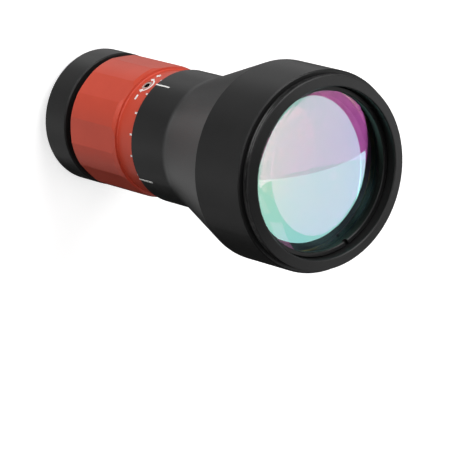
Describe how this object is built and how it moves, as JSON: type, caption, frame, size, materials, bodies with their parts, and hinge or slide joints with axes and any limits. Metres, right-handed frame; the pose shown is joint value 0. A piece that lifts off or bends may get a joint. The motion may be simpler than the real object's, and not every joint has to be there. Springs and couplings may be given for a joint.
{
  "type": "laser beam expander",
  "caption": "Sliding-lens beam expander with a conical black housing, a faceted red adjustment ring with a lock screw, a cemented output lens and threads at both ends.",
  "frame": {"origin": "centre of the input end's face, on the optical axis", "axes": "+Z along the optical axis from the input end to the output lens; -Y through the lock screw"},
  "size_m": [0.05, 0.05, 0.0965],
  "materials": {
    "anodised_black": "black anodised aluminium, fine satin",
    "anodised_red": "red anodised aluminium, satin",
    "coated_glass": "polished glass with an infrared anti-reflection coating",
    "brass": "turned brass",
    "steel": "turned stainless steel",
    "polymer": "natural acetal"
  },
  "bodies": {
    "housing": {"main_housing": "anodised_black", "output_crown_lens": "coated_glass", "output_flint_lens": "coated_glass", "lens_seat_ring": "brass", "output_retaining_ring": "anodised_black", "guide_sleeve": "anodised_black", "input_flange": "anodised_black", "wave_washer": "steel", "rear_thrust_washer": "brass", "front_thrust_washer": "brass"},
    "ring": {"adjustment_ring": "anodised_red", "cam_sleeve": "brass", "lock_pad": "polymer"},
    "carriage": {"lens_carriage": "brass", "input_lens": "coated_glass", "input_retaining_ring": "anodised_black", "drive_pin_1": "steel", "drive_pin_2": "steel", "drive_pin_3": "steel"},
    "screw": {"lock_screw": "steel"}
  },
  "joints": [
    {"name": "ring_turn", "type": "hinge", "parent": "housing", "child": "ring", "pos_m": [0, 0, 0.0232], "axis": [0, 0, 1], "range_deg": [-90, 90]},
    {"name": "carriage_slide", "type": "slide", "parent": "housing", "child": "carriage", "axis": [0, 0, 1], "range_m": [-0.003, 0.003]},
    {"name": "lock_screw_turn", "type": "hinge", "parent": "ring", "child": "screw", "pos_m": [0, -0.0147, 0.0347], "axis": [0, -1, 0], "range_deg": [0, 270]}
  ],
  "couplings": [
    {"joint": "carriage_slide", "follows": "ring_turn", "m_per_rad": -0.0019099}
  ]
}
